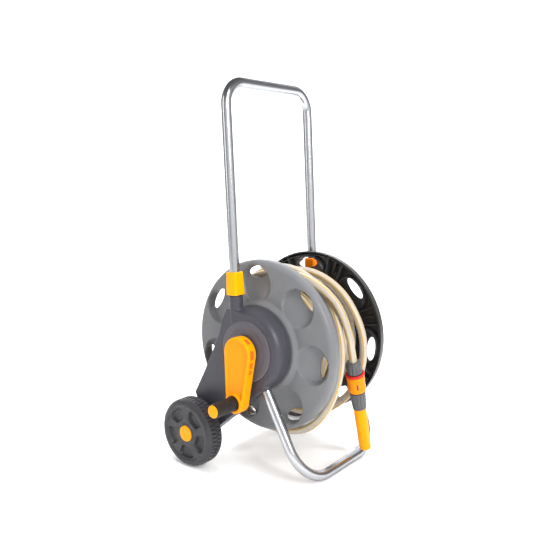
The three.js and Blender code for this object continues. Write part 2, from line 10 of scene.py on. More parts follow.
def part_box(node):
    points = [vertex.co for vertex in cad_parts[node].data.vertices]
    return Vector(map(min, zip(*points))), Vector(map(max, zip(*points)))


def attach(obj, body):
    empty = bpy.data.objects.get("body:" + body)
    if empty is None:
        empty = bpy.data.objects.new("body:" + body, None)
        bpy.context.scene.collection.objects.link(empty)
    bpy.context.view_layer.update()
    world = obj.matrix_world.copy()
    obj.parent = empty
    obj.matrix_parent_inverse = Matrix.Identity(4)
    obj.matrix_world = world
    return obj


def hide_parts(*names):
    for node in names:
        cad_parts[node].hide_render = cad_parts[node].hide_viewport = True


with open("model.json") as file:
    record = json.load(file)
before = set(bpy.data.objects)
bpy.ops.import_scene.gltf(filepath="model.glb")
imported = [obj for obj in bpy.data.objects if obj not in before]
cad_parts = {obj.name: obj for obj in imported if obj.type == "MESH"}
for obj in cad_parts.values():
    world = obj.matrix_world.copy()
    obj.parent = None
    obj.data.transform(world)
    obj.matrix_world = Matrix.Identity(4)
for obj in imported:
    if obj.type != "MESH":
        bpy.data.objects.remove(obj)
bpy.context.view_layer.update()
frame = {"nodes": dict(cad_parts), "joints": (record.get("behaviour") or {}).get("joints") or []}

# Lengths in this script are millimetres in the cart's own axes: x and y from the drum's axis and
# middle, z from the ground, and "out" sideways from the drum's middle. place() turns them into
# the row frame's metres.
JOINTS = {joint["name"]: joint for joint in frame["joints"]}
AXIS = Vector(JOINTS["reel_turn"]["pos_m"])
MM = 0.001
SIDES = (("left", -1), ("right", 1))

DRUM_Z = AXIS.z / MM
WHEEL_AT = Vector(JOINTS["left_wheel_roll"]["pos_m"])
WHEEL_X = (WHEEL_AT.x - AXIS.x) / MM
WHEEL_R = WHEEL_AT.z / MM
GRIP_AT = Vector(JOINTS["grip_spin"]["pos_m"])
GRIP_X = (GRIP_AT.x - AXIS.x) / MM
GRIP_Z = GRIP_AT.z / MM
GRIP_DROP = DRUM_Z - GRIP_Z
SLIDE = Vector(JOINTS["handle_slide"]["axis"])
HANG = Vector(JOINTS["jet_twist"]["axis"])
TUBE_R = 11.0
TUBE_OUT = 141.0
HOSE_R = 8.5


def place(point):
    return Vector((point[0] * MM + AXIS.x, point[1] * MM + AXIS.y, point[2] * MM))


def polar(degrees, r, y=0.0):
    """A point round the drum's axis, turned from straight up towards +x."""
    turn = math.radians(degrees)
    return Vector((r * math.sin(turn), y, DRUM_Z + r * math.cos(turn)))


# ---------- camera ----------

EYE = (888.0, -1147.7, 660.0)
LOOK_AT = (-31.0, 0.0, 407.7)
LENS = 41.63


def camera():
    data = bpy.data.cameras.new("camera")
    data.sensor_width = 36
    data.lens = LENS
    data.clip_end = 50
    eye = bpy.data.objects.new("camera", data)
    bpy.context.scene.collection.objects.link(eye)
    eye.location = place(EYE)
    towards = place(LOOK_AT) - eye.location
    eye.rotation_euler = towards.to_track_quat("-Z", "Y").to_euler()
    bpy.context.scene.camera = eye


camera()


# ---------- mesh tools ----------

def smoothstep(x):
    x = np.clip(x, 0, 1)
    return x * x * (3 - 2 * x)


def rounded(corners, steps=4):
    """A closed outline whose corners (a, b, radius) are rounded; a corner without a radius stays sharp."""
    out = []
    count = len(corners)
    for i, corner in enumerate(corners):
        here = Vector(corner[:2])
        radius = corner[2] if len(corner) > 2 else 0
        if not radius:
            out.append(here)
            continue
        before = Vector(corners[i - 1][:2]) - here
        after = Vector(corners[(i + 1) % count][:2]) - here
        back = before.normalized() * min(radius, before.length * 0.48)
        forth = after.normalized() * min(radius, after.length * 0.48)
        for step in range(steps + 1):
            t = step / steps
            out.append(here + back * (1 - t) ** 2 + forth * t * t)
    return [tuple(p) for p in out]


def resampled(outline, longest):
    """The closed outline again, with no edge longer than that."""
    out = []
    for i, (a, b) in enumerate(outline):
        c, d = outline[(i + 1) % len(outline)]
        parts = max(1, math.ceil(math.hypot(c - a, d - b) / longest))
        out += [(a + (c - a) * k / parts, b + (d - b) * k / parts) for k in range(parts)]
    return out


def revolve(outline, count, lift=None):
    """A ring about the y axis from a closed outline of (radius, y).
    lift(radius, y, turn) moves the surface outwards along the outline's own normal."""
    outline = np.array(outline, float)
    before, after = np.roll(outline, 1, 0), np.roll(outline, -1, 0)
    along = after - before
    size = np.maximum(np.hypot(along[:, 0], along[:, 1]), 1e-9)
    area = np.sum(outline[:, 0] * after[:, 1] - after[:, 0] * outline[:, 1])
    normal = np.stack([along[:, 1], -along[:, 0]], 1) / size[:, None] * np.sign(area)
    turn = np.linspace(0, 2 * math.pi, count, endpoint=False)
    r = np.repeat(outline[:, :1], count, 1)
    y = np.repeat(outline[:, 1:], count, 1)
    if lift is not None:
        by = lift(r, y, np.repeat(turn[None], len(outline), 0))
        r = r + by * normal[:, :1]
        y = y + by * normal[:, 1:]
    points = np.stack([r * np.sin(turn), y, r * np.cos(turn)], 2).reshape(-1, 3)
    on_axis = np.hypot(points[:, 0], points[:, 2]) < 1e-6
    faces = [face for face in ring_faces(len(outline), count, True) if not all(on_axis[i] for i in face)]
    return points, faces


def ring_faces(rows, count, closed):
    """Quads between neighbouring rows of count points each."""
    faces = []
    for i in range(rows if closed else rows - 1):
        j = (i + 1) % rows
        for k in range(count):
            m = (k + 1) % count
            faces.append((i * count + k, i * count + m, j * count + m, j * count + k))
    return faces


def loft(rings):
    """A closed skin through rings of equal point counts, with flat ends."""
    count = len(rings[0])
    points = [p for ring in rings for p in ring]
    faces = ring_faces(len(rings), count, False)
    faces.append(tuple(range(count)))
    faces.append(tuple(range((len(rings) - 1) * count, len(rings) * count)))
    return points, faces


def sweep(path, radius, sides):
    """A closed bar of round section along the points, and how far along it each row of points is."""
    path = [Vector(p) for p in path]
    rings, travelled, length = [], [], 0.0
    forward = (path[1] - path[0]).normalized()
    up = forward.orthogonal().normalized()
    for i, here in enumerate(path):
        ahead = (path[min(i + 1, len(path) - 1)] - path[max(i - 1, 0)]).normalized()
        up = forward.rotation_difference(ahead) @ up
        forward = ahead
        across = forward.cross(up)
        turns = [2 * math.pi * k / sides for k in range(sides)]
        rings.append([here + (up * math.cos(t) + across * math.sin(t)) * radius for t in turns])
        length += (here - path[max(i - 1, 0)]).length
        travelled.append(length)
    return *loft(rings), travelled


def piece(name, points, faces, body, slot, material, stands_for=(), sharp=38, weld=True,
          at=(0, 0, 0), turn=None):
    """A mesh from millimetre points, placed in the row frame and riding on a body."""
    moved = [Vector(p) for p in points]
    if turn is not None:
        moved = [turn @ p for p in moved]
    shift = Vector(at)
    mesh = bpy.data.meshes.new(name)
    mesh.from_pydata([place(p + shift) for p in moved], [], faces)
    tidy = bmesh.new()
    tidy.from_mesh(mesh)
    if weld:
        bmesh.ops.remove_doubles(tidy, verts=tidy.verts, dist=1e-6)
        bmesh.ops.dissolve_degenerate(tidy, edges=tidy.edges, dist=1e-7)
    bmesh.ops.recalc_face_normals(tidy, faces=tidy.faces)
    tidy.to_mesh(mesh)
    tidy.free()
    mesh.polygons.foreach_set("use_smooth", [True] * len(mesh.polygons))
    if sharp:
        mesh.set_sharp_from_angle(angle=math.radians(sharp))
    mesh.materials.append(material)
    obj = bpy.data.objects.new(name, mesh)
    bpy.context.scene.collection.objects.link(obj)
    if body:
        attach(obj, body)
    if stands_for:
        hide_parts(*stands_for)
    return obj


def extruded(outline, low, high):
    """Points and faces of an (x, z) outline made thick from y low to y high."""
    count = len(outline)
    points = [(x, low, z) for x, z in outline] + [(x, high, z) for x, z in outline]
    faces = [tuple(range(count)), tuple(range(count, 2 * count))]
    faces += [(i, (i + 1) % count, count + (i + 1) % count, count + i) for i in range(count)]
    return points, faces


def rod(start, end, radius, sides=48):
    points, faces, _ = sweep([start, end], radius, sides)
    return points, faces


def combined(name, adds, cuts):
    """Joined shapes less other shapes, as one object. A shape is points and faces, or an earlier result."""
    def plain(shape):
        if isinstance(shape, bpy.types.Object):
            return shape
        return piece("shape", *shape, None, None, bpy.data.materials[0], sharp=0)

    base = plain(adds[0])
    steps = [(shape, "UNION") for shape in adds[1:]] + [(shape, "DIFFERENCE") for shape in cuts]
    for shape, operation in steps:
        other = plain(shape)
        step = base.modifiers.new("step", "BOOLEAN")
        step.operation = operation
        step.object = other
        step.solver = "MANIFOLD"
        applied(base)
        bpy.data.objects.remove(other)
    base.name = name
    base.data.name = name
    return base


def moulded(base, voxel, smoothing, body, material, stands_for):
    """Remeshes the object finely and relaxes it, so that its edges are softly rounded."""
    remesh = base.modifiers.new("remesh", "REMESH")
    remesh.mode = "VOXEL"
    remesh.voxel_size = voxel * MM * 1
    smooth = base.modifiers.new("smooth", "SMOOTH")
    smooth.factor = 0.5
    smooth.iterations = smoothing
    applied(base)
    base.data.polygons.foreach_set("use_smooth", [True] * len(base.data.polygons))
    base.data.materials.clear()
    base.data.materials.append(material)
    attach(base, body)
    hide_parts(*stands_for)


def applied(obj):
    """The object's mesh with its modifiers applied."""
    shown = obj.evaluated_get(bpy.context.evaluated_depsgraph_get())
    mesh = bpy.data.meshes.new_from_object(shown)
    obj.modifiers.clear()
    obj.data = mesh


# ---------- materials ----------

def feed(made, inputs):
    """Sets a shader node's inputs; a value that is another node's output is linked."""
    for key, value in inputs.items():
        if isinstance(value, bpy.types.NodeSocket):
            made.id_data.links.new(value, made.inputs[key])
        else:
            made.inputs[key].default_value = value


def node(tree, kind, inputs=None, **settings):
    made = tree.nodes.new(kind)
    for key, value in settings.items():
        setattr(made, key, value)
    feed(made, inputs or {})
    return made


def noise(tree, where, scale, detail, **more):
    inputs = {"Vector": where, "Scale": scale, "Detail": detail, **more}
    return node(tree, "ShaderNodeTexNoise", inputs).outputs["Fac"]


def relief(tree, height, strength, distance):
    inputs = {"Height": height, "Strength": strength, "Distance": distance}
    return node(tree, "ShaderNodeBump", inputs).outputs["Normal"]


def ramp(tree, value, stops):
    made = node(tree, "ShaderNodeValToRGB", {"Fac": value})
    elements = made.color_ramp.elements
    while len(elements) < len(stops):
        elements.new(0.5)
    for element, (position, colour) in zip(elements, stops):
        element.position = position
        element.color = (*colour, 1) if len(colour) == 3 else (colour[0],) * 3 + (1,)
    return made.outputs["Color"]


def surface(name):
    material = bpy.data.materials.new(name)
    material.use_nodes = True
    tree = material.node_tree
    return material, tree, tree.nodes["Principled BSDF"]


def scaled(colour, by):
    return tuple(min(1.0, c * by) for c in colour)


def plastic(name, colour, roughness=0.45, grain=900, bump=0.12, mottle=0.06, scuff=0.25, specular=0.3):
    """Moulded plastic: spark-eroded grain, faint flow mottling, and dull scuffs that come and go."""
    material, tree, shader = surface(name)
    where = node(tree, "ShaderNodeTexCoord").outputs["Object"]
    feed(shader, {
        "Base Color": ramp(tree, noise(tree, where, 22.0, 5.0), [
            (0.3, scaled(colour, 1 - mottle)), (0.52, colour), (0.75, scaled(colour, 1 + mottle)),
        ]),
        "Roughness": ramp(tree, noise(tree, where, 140.0, 6.0, Roughness=0.65), [
            (0.35, (roughness * (1 - scuff),)), (0.7, (min(1.0, roughness * (1 + scuff)),)),
        ]),
        "Normal": relief(tree, noise(tree, where, float(grain), 3.0), bump, 0.0004),
        "Specular IOR Level": specular,
    })
    return material


def metal(name, colour, roughness, along=(1, 1, 1), uv=False):
    """Drawn metal: fine streaks along the tube, faint cloudy oxide and a few dull patches."""
    material, tree, shader = surface(name)
    where = node(tree, "ShaderNodeTexCoord").outputs
    stretch = node(tree, "ShaderNodeMapping", {"Vector": where["UV" if uv else "Object"], "Scale": along})
    lines = noise(tree, stretch.outputs["Vector"], 1.0, 5.0)
    cloud = noise(tree, where["Object"], 45.0, 6.0)
    both = node(tree, "ShaderNodeMix", {"Factor": 0.4, 2: lines, 3: cloud}, data_type="FLOAT").outputs[0]
    streak = 0.18
    feed(shader, {
        "Base Color": ramp(tree, both, [(0.3, scaled(colour, 0.86)), (0.7, scaled(colour, 1.06))]),
        "Roughness": ramp(tree, both, [
            (0.3, (roughness * (1 + streak),)), (0.7, (roughness * (1 - streak),)),
        ]),
        "Normal": relief(tree, lines, 0.08, 0.0003),
        "Metallic": 1.0,
        "Specular Tint": (0.35, 0.35, 0.37, 1),
    })
    return material


def hose_skin(name):
    """Milky hose: a cream wall, four ochre stripes along it, a purple-grey band of painted shade beside each
    stripe, and a faint knitted mesh.
    """
    material, tree, shader = surface(name)
    uv = node(tree, "ShaderNodeTexCoord").outputs["UV"]
    parts = node(tree, "ShaderNodeSeparateXYZ", {"Vector": uv})
    round_it, along = parts.outputs["X"], parts.outputs["Y"]

    def maths(operation, a, b=0.0, c=0.0):
        return node(tree, "ShaderNodeMath", {0: a, 1: b, 2: c}, operation=operation).outputs[0]

    where = node(tree, "ShaderNodeTexCoord").outputs["Object"]
    twisted = maths("MULTIPLY_ADD", along, 0.35, round_it)
    twisted = maths("MULTIPLY_ADD", noise(tree, where, 9.0, 2.0), 0.10, twisted)
    lane = maths("FRACT", maths("MULTIPLY", twisted, 4.0))
    stripe = ramp(tree, lane, [(0.36, (0.0,)), (0.40, (1.0,)), (0.58, (1.0,)), (0.62, (0.0,))])
    # Beside each ochre stripe, a purple-grey band of painted shade, mixed in three quarters strong.
    shade = ramp(tree, lane, [(0.62, (0.0,)), (0.70, (1.0,)), (0.92, (1.0,)), (1.0, (0.0,))])
    weave_a = maths("SINE", maths("MULTIPLY_ADD", along, 1500.0, maths("MULTIPLY", round_it, 75.4)))
    weave_b = maths("SINE", maths("MULTIPLY_ADD", along, -1500.0, maths("MULTIPLY", round_it, 75.4)))
    weave = maths("MULTIPLY", maths("ABSOLUTE", weave_a), maths("ABSOLUTE", weave_b))
    cream = node(tree, "ShaderNodeMix", {
        "Factor": weave, 6: (0.44, 0.385, 0.275, 1), 7: (0.57, 0.51, 0.395, 1),
    }, data_type="RGBA")
    shaded_cream = node(tree, "ShaderNodeMix", {
        "Factor": maths("MULTIPLY", shade, 0.75), 6: cream.outputs[2], 7: (0.36, 0.33, 0.34, 1),
    }, data_type="RGBA")
    striped = node(tree, "ShaderNodeMix", {
        "Factor": maths("MULTIPLY", stripe, 0.9), 6: shaded_cream.outputs[2], 7: (0.46, 0.25, 0.03, 1),
    }, data_type="RGBA")
    feed(shader, {
        "Base Color": striped.outputs[2],
        "Roughness": ramp(tree, noise(tree, where, 160.0, 5.0), [(0.35, (0.28,)), (0.7, (0.5,))]),
        "Normal": relief(tree, weave, 0.15, 0.0004),
        "Subsurface Weight": 0.25,
        "Subsurface Radius": (1.0, 0.8, 0.5),
        "Subsurface Scale": 0.004,
    })
    return material


def bright(name, colour, roughness=0.36, scuff=0.1, mottle=0.02, bump=0.04):
    """A strongly coloured moulding with little white sheen."""
    return plastic(name, colour, roughness, bump=bump, mottle=mottle, scuff=scuff, specular=0.12)


HOSE_SKIN = hose_skin("hose_skin")
CHARCOAL = plastic("charcoal_plastic", (0.050, 0.049, 0.061), 0.40, bump=0.1)
COVER = plastic("cover_plastic", (0.084, 0.082, 0.097), 0.36, bump=0.08)
GREY = plastic("grey_plastic", (0.155, 0.158, 0.165), 0.40, bump=0.08, mottle=0.04)
BLACK = plastic("black_plastic", (0.020, 0.020, 0.022), 0.45)
# The far flange is the near flange's grey plastic; this near-black colour is painted shade on its shadowed
# inner face.
FAR_FLANGE_SHADED = plastic("far_flange_plastic", (0.030, 0.030, 0.032), 0.36, bump=0.08, specular=0.6)
NUT_GREY = plastic("nut_plastic", (0.086, 0.086, 0.091), 0.42)
WHEEL = plastic("wheel_plastic", (0.037, 0.036, 0.041), 0.5, grain=600, bump=0.2, mottle=0.12, scuff=0.35)
CRANK = bright("crank_plastic", (0.80, 0.285, 0.0), 0.38)
# A darker red for the crank's slots: painted shade in the recesses of the orange crank.
CRANK_SLOT = plastic("crank_slot_plastic", (0.84, 0.115, 0.004), 0.45, bump=0.05, mottle=0.03)
COLLAR = bright("collar_plastic", (0.80, 0.37, 0.0))
# The far collar is the same yellow moulding; its redder orange is painted shade from the near flange's
# shadow.
COLLAR_PAINTED_SHADE = bright("far_collar_plastic", (0.86, 0.20, 0.002))
CAP = bright("cap_plastic", (0.80, 0.325, 0.0), 0.34)
SLEEVE = bright("sleeve_plastic", (0.80, 0.235, 0.0), 0.38, 0.15, 0.03)
RING = plastic("ring_plastic", (0.66, 0.016, 0.007), 0.36, bump=0.05, mottle=0.03, scuff=0.15)
JET = bright("jet_plastic", (0.84, 0.315, 0.0), 0.38, bump=0.05)
GRIP = plastic("grip_plastic", (0.016, 0.014, 0.014), 0.5, grain=1400, bump=0.3)
SEAL = plastic("seal_rubber", (0.012, 0.012, 0.013), 0.6)
ALUMINIUM = metal("tube_aluminium", (0.50, 0.51, 0.53), 0.2, along=(60, 6, 1), uv=True)
STEEL = metal("zinc_steel", (0.50, 0.50, 0.51), 0.3, along=(300, 300, 300))
AXLE = metal("axle_steel", (0.50, 0.49, 0.47), 0.28, along=(400, 20, 400))


# ---------- hose ----------

NUT_TOP = Vector((178, -12, 256))  # the hanging end starts here and follows HANG
# The loose outer turns: (degrees from straight up towards +x, distance from the drum's axis, y).
TAIL_TURNS = [
    (-165, 150, 43), (-135, 150, 44), (-105, 150, 45), (-75, 150, 46), (-45, 150, 46.5), (-15, 150, 47),
    (15, 150.5, 47), (45, 154, 47), (75, 162, 47), (95, 169, 46), (115, 176, 41), (135, 182, 33),
    (160, 183, 23), (190, 177, 14), (220, 169, 8), (250, 165, 3), (280, 164.6, -3), (310, 164.6, -10),
    (340, 164.6, -16), (370, 164.8, -23), (400, 165, -31), (425, 165.5, -38), (450, 168.5, -44),
    (475, 181, -55), (495, 195, -66), (512, 200.5, -71), (535, 195, -71.8), (560, 185, -71.8),
    (590, 171, -71.5), (620, 158, -70.8), (650, 151.5, -70), (680, 150.8, -69.5), (705, 153.5, -67.5),
    (730, 163.5, -62), (752, 174.5, -53.5), (775, 183.5, -40.5),
]
TAIL_LEAD_IN = (60, 28, 8)  # points above the nut, on its axis
NUT_DEPTH = 12


def hang_at(distance):
    return NUT_TOP + HANG * distance


def smooth_line(points, per_span):
    """The centripetal Catmull-Rom curve through the points, as in the CAD."""
    points = [Vector(p) for p in points]
    first = points[0] * 2 - points[1]
    last = points[-1] * 2 - points[-2]
    points = [first, *points, last]
    out = []
    for i in range(1, len(points) - 2):
        a, b, c, d = points[i - 1:i + 3]
        t1 = (b - a).length ** 0.5
        t2 = t1 + (c - b).length ** 0.5
        t3 = t2 + (d - c).length ** 0.5
        for k in range(per_span):
            t = t1 + (t2 - t1) * k / per_span
            p = a.lerp(b, t / t1)
            q = b.lerp(c, (t - t1) / (t2 - t1))
            r = c.lerp(d, (t - t2) / (t3 - t2))
            s = p.lerp(q, t / t2)
            u = q.lerp(r, (t - t1) / (t3 - t1))
            out.append(s.lerp(u, (t - t1) / (t2 - t1)))
    out.append(points[-2])
    return out


def wrap_uvs(made, sides, travelled):
    """UVs round a swept bar and along it, in turns and metres."""
    layer = made.data.uv_layers.new(name="UVMap")
    for polygon in made.data.polygons:
        turns = [v % sides for v in polygon.vertices]
        wraps = max(turns) - min(turns) > sides / 2
        for loop, vertex, turn in zip(polygon.loop_indices, polygon.vertices, turns):
            u = (turn + (sides if wraps and turn < sides / 2 and len(turns) == 4 else 0)) / sides
            layer.data[loop].uv = (u, travelled[vertex // sides] * MM)


def hose_piece(name, line, body, stands_for):
    sides = 20
    points, faces, travelled = sweep(line, HOSE_R, sides)
    made = piece(name, points, faces, body, "hose", HOSE_SKIN, stands_for, sharp=60, weld=False)
    wrap_uvs(made, sides, travelled)
    return made


CORE_R = 76.0
LAYER = 14.9  # from one layer's middle to the next
PITCH = 17.5  # from one turn to the next, sideways
STEPS_A_TURN = 36
# Where each layer of the winding starts and ends, sideways.
LAYERS = [(-71.8, 71.8), (71.8, -71.8), (-71.8, 71.8), (71.8, -66.0), (-48.0, 24.0)]


def coil_line():
    """Every wound turn: four full layers back and forth, then a fifth that stops partway."""
    line = []
    turn = 0.0
    for layer, (start, end) in enumerate(LAYERS):
        r = CORE_R + HOSE_R + 0.2 + LAYER * layer
        turns = abs(end - start) / PITCH
        steps = round(turns * STEPS_A_TURN)
        before = LAYERS[layer - 1][1] if layer else start
        for step in range(steps + 1):
            share = step / steps
            rise = smoothstep(step / 14) if layer else 1.0
            degrees = turn + 360 * turns * share
            sway = 0.5 * math.sin(math.radians(degrees) * 0.37 + layer)
            y = start + (end - start) * share
            y += (before - start) * (1 - rise) + sway
            line.append(polar(degrees, r - LAYER * (1 - rise) + sway * 0.3, y))
        turn += 360 * turns
        line.pop()
    # The last stretch ducks under its neighbours, so that no cut end shows.
    for k in range(1, 7):
        line.append(polar(turn + 5 * k, r - 1.2 * k, LAYERS[-1][1] + 0.2 * k))
    return line


def tail_line():
    """The loose outer turns and the hanging end. Its start ducks into the winding."""
    line = smooth_line(
        [polar(*t) for t in TAIL_TURNS]
        + [hang_at(-above) for above in TAIL_LEAD_IN]
        + [hang_at(NUT_DEPTH - 0.5)], 6)
    first = TAIL_TURNS[0]
    lead = [polar(first[0] - 5 * k, first[1] - 1.1 * k, first[2] - 0.2 * k) for k in range(6, 0, -1)]
    return lead + line


coil_points = coil_line()
tail_points = tail_line()
coil = hose_piece("wound_hose", coil_points, "reel", ("hose_coil",))
tail = hose_piece("loose_hose", tail_points, "frame", ("hose_tail",))


# ---------- pieces on the hose's end ----------

def on_hose(name, outline, count, body, slot, material, stands_for, lift=None, sharp=38):
    points, faces = revolve(outline, count, lift)
    turn = Vector((0, 1, 0)).rotation_difference(HANG)
    return piece(name, points, faces, body, slot, material, stands_for, sharp=sharp, at=NUT_TOP, turn=turn)


def fade(y, low, high, edge):
    """1 between low and high, falling to 0 over edge at both ends."""
    return np.clip((y - low) / edge, 0, 1) * np.clip((high - y) / edge, 0, 1)


def ribs(count, depth, low, high, edge=2.0, least_r=12.0):
    """Rounded ribs along a round grip, between two heights."""
    def lift(r, y, turn):
        wave = np.abs(np.cos(turn * count / 2)) ** 0.6
        return -depth * (1 - wave) * fade(y, low, high, edge) * (r > least_r)
    return lift


SLEEVE_WINDOW = 141  # degrees round the sleeve to its small indicator slot


def hose_end():
    pieces = []
    nut = resampled(rounded([
        (0, NUT_DEPTH), (HOSE_R + 0.2, NUT_DEPTH), (HOSE_R + 0.2, 0, 0.6), (13.5, 0, 1.5), (16.2, 3.5, 2),
        (17.2, 8, 2), (17.2, 27, 0.8), (0, 27),
    ]), 0.8)
    pieces.append(on_hose("hose_nut_grip", nut, 168, "frame", "nut_plastic", NUT_GREY, ("hose_nut",),
                          ribs(12, 1.6, 4, 26.5)))
    core = rounded([(0, 27.3), (14.4, 27.3, 0.5), (14.4, 74, 0.5), (9, 74), (9, 44), (0, 44)])
    pieces.append(on_hose("connector_body", core, 64, "frame", "core_plastic", BLACK, ("connector_core",)))
    ring = resampled(rounded([
        (17.4, 28, 0.5), (20.6, 28, 1.2), (20.9, 31, 1), (20.6, 34, 0.8), (17.4, 34, 0.5),
    ]), 0.8)
    pieces.append(on_hose("connector_ring_band", ring, 144, "release_sleeve", "ring_plastic", RING,
                          ("connector_ring",), ribs(36, 0.35, 28.8, 33.4, 0.8, 19)))
    sleeve = resampled(rounded([
        (14.8, 34.3), (20.3, 34.3, 1.0), (20.5, 42, 3), (19.9, 54, 5), (20.4, 66, 3),
        (18.8, 73.6, 2), (14.8, 73.6),
    ]), 0.8)

    def sleeve_lift(r, y, turn):
        flats = 0.5 * np.cos(turn * 4)
        beside = np.degrees(turn) - SLEEVE_WINDOW
        window = 1.6 * fade(y, 48, 64, 1.2) * fade(beside, -7, 7, 2.5)
        return (r > 17) * (-0.4 + flats * fade(y, 36, 70, 4) - window)

    shell = on_hose("connector_sleeve_shell", sleeve, 180, "release_sleeve", "sleeve_plastic", SLEEVE,
                    ("connector_sleeve",), sleeve_lift)
    shell.data.materials.append(NUT_GREY)
    to_hose = HANG.rotation_difference(Vector((0, 1, 0)))
    for face in shell.data.polygons:
        x, y, z = to_hose @ ((face.center - place(NUT_TOP)) / MM)
        if 49 < y < 63 and 17 < math.hypot(x, z) < 18.6:
            face.material_index = 1
    pieces.append(shell)
    coupling = resampled(rounded([
        (4.5, 48), (8.6, 48, 0.8), (8.6, 75.6), (17.4, 75.6, 1), (17.6, 82, 2), (15.6, 117, 1), (7.5, 117),
        (7.5, 150, 0.6), (4.5, 150),
    ]), 0.9)
    pieces.append(on_hose("nozzle_coupling_grip", coupling, 168, "frame", "nut_plastic", NUT_GREY,
                          ("nozzle_coupling",), ribs(12, 1.3, 78, 115)))
    barrel = resampled(rounded([
        (7.9, 117.3), (14.2, 117.3, 0.8), (14.3, 121, 1), (13.1, 226, 1.2), (9, 226, 1), (5, 215), (5, 193),
        (7.9, 168),
    ]), 1.2)

    def barrel_lift(r, y, turn):
        fins = np.abs(np.cos(turn * 3)) ** 6
        return 0.35 * fins * fade(y, 130, 215, 14) * (r > 11.5)

    pieces.append(on_hose("jet_barrel", barrel, 144, "jet", "nozzle_plastic", JET,
                          ("nozzle_barrel",), barrel_lift))
    return pieces


hose_fittings = hose_end()


# ---------- tubes ----------

def bent_path(corners, bend, steps=20):
    """Corner points joined by straights and round bends."""
    corners = [Vector(c) for c in corners]
    line = [corners[0]]
    for before, corner, after in zip(corners, corners[1:], corners[2:]):
        back = (before - corner).normalized()
        forth = (after - corner).normalized()
        half = back.angle(forth) / 2
        centre = corner + (back + forth).normalized() * bend / math.sin(half)
        start = corner + back * bend / math.tan(half) - centre
        axis = forth.cross(back).normalized()
        for step in range(steps + 1):
            line.append(centre + Quaternion(axis, (math.pi - 2 * half) * step / steps) @ start)
    line.append(corners[-1])
    return line


def dense(line, longest=12.0):
    out = []
    for a, b in zip(line, line[1:]):
        parts = max(1, math.ceil((b - a).length / longest))
        out += [a.lerp(b, k / parts) for k in range(parts)]
    return out + [line[-1]]


def tube_piece(name, corners, bend, stands_for, body):
    sides = 40
    points, faces, travelled = sweep(dense(bent_path(corners, bend)), TUBE_R, sides)
    made = piece(name, points, faces, body, "tube_aluminium", ALUMINIUM, stands_for, weld=False)
    wrap_uvs(made, sides, travelled)
    return made


HANDLE_AT = (-38.3, 358.0)
HANDLE_LOW_Z = 318.0
HANDLE_TOP_Z = 840.0
FOOT_X = 148.0
FOOT_LENGTH = math.hypot(FOOT_X, DRUM_Z - TUBE_R)


def handle_at(z, y):
    return Vector((HANDLE_AT[0] + (z - HANDLE_AT[1]) * SLIDE.x / SLIDE.z, y, z))


def foot_at(distance, y):
    share = distance / FOOT_LENGTH
    return Vector((FOOT_X * share, y, DRUM_Z + (TUBE_R - DRUM_Z) * share))


def u_corners(at, near, far):
    return [at(near, -TUBE_OUT), at(far, -TUBE_OUT), at(far, TUBE_OUT), at(near, TUBE_OUT)]


tube_piece("handle_bar", u_corners(handle_at, HANDLE_LOW_Z, HANDLE_TOP_Z), 50, ("handle_tube",), "handle")
tube_piece("foot_bar", u_corners(foot_at, 46, FOOT_LENGTH), 80, ("foot_tube",), "frame")

axle_end = (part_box("axle")[1].y - AXIS.y) / MM
axle_outline = rounded([(0, -axle_end), (8, -axle_end, 1), (8, axle_end, 1), (0, axle_end)])
points, faces = revolve(axle_outline, 48)
piece("axle_bar", points, faces, "frame", "axle_steel", AXLE, ("axle",), at=(WHEEL_X, 0, WHEEL_R))


# ---------- side frames ----------

FRAME_OUTLINE = [
    (-24, 362), (-55, 362), (-61, 352), (-68, 338), (-77, 310), (-88, 284), (-101, 259),
    (-128, 207), (-158, 154), (-152, 142), (-157, 88), (-150, 66), (-132, 57), (-114, 63),
    (45, 200), (60, 240), (10, 350),
]
FRAME_FACE = 155.0
FRAME_BACK = 122.0
HUB_BASE = 117.0
HUB_R = 91.0
WALL = 3.5
# Radius of the hole on the drum's axis: the left one passes the shaft, the right one the inlet.
HUB_HOLES = {"left": 12.0, "right": 18.0}
COVER_R = 66.7
COVER_IN = 153.8


def inset(corners, by):
    """The anticlockwise outline with each edge moved inwards."""
    edges = []
    for i, (x, z) in enumerate(corners):
        next_x, next_z = corners[(i + 1) % len(corners)]
        length = math.hypot(next_x - x, next_z - z)
        dx, dz = (next_x - x) / length, (next_z - z) / length
        edges.append((x - dz * by, z + dx * by, dx, dz))
    out = []
    for i, (x, z, dx, dz) in enumerate(edges):
        before_x, before_z, before_dx, before_dz = edges[i - 1]
        cross = before_dx * dz - before_dz * dx
        along = ((x - before_x) * dz - (z - before_z) * dx) / cross
        out.append((before_x + before_dx * along, before_z + before_dz * along))
    return out


def lathe_at(side, x, z, outline, count=96):
    points, faces = revolve([(r, side * out) for r, out in outline], count)
    return [(px + x, py, pz + z) for px, py, pz in points], faces


def bar_out(side, x, z, inner, outer, radius):
    return rod((x, side * inner, z), (x, side * outer, z), radius)


def hub_outline(r, base, face):
    return [
        (0, base), (r, base), (r, base + 5), (r - 0.8, face - 20), (r - 2.8, face - 11), (r - 6, face - 5),
        (r - 10, face - 1.2), (r - 14, face), (0, face),
    ]


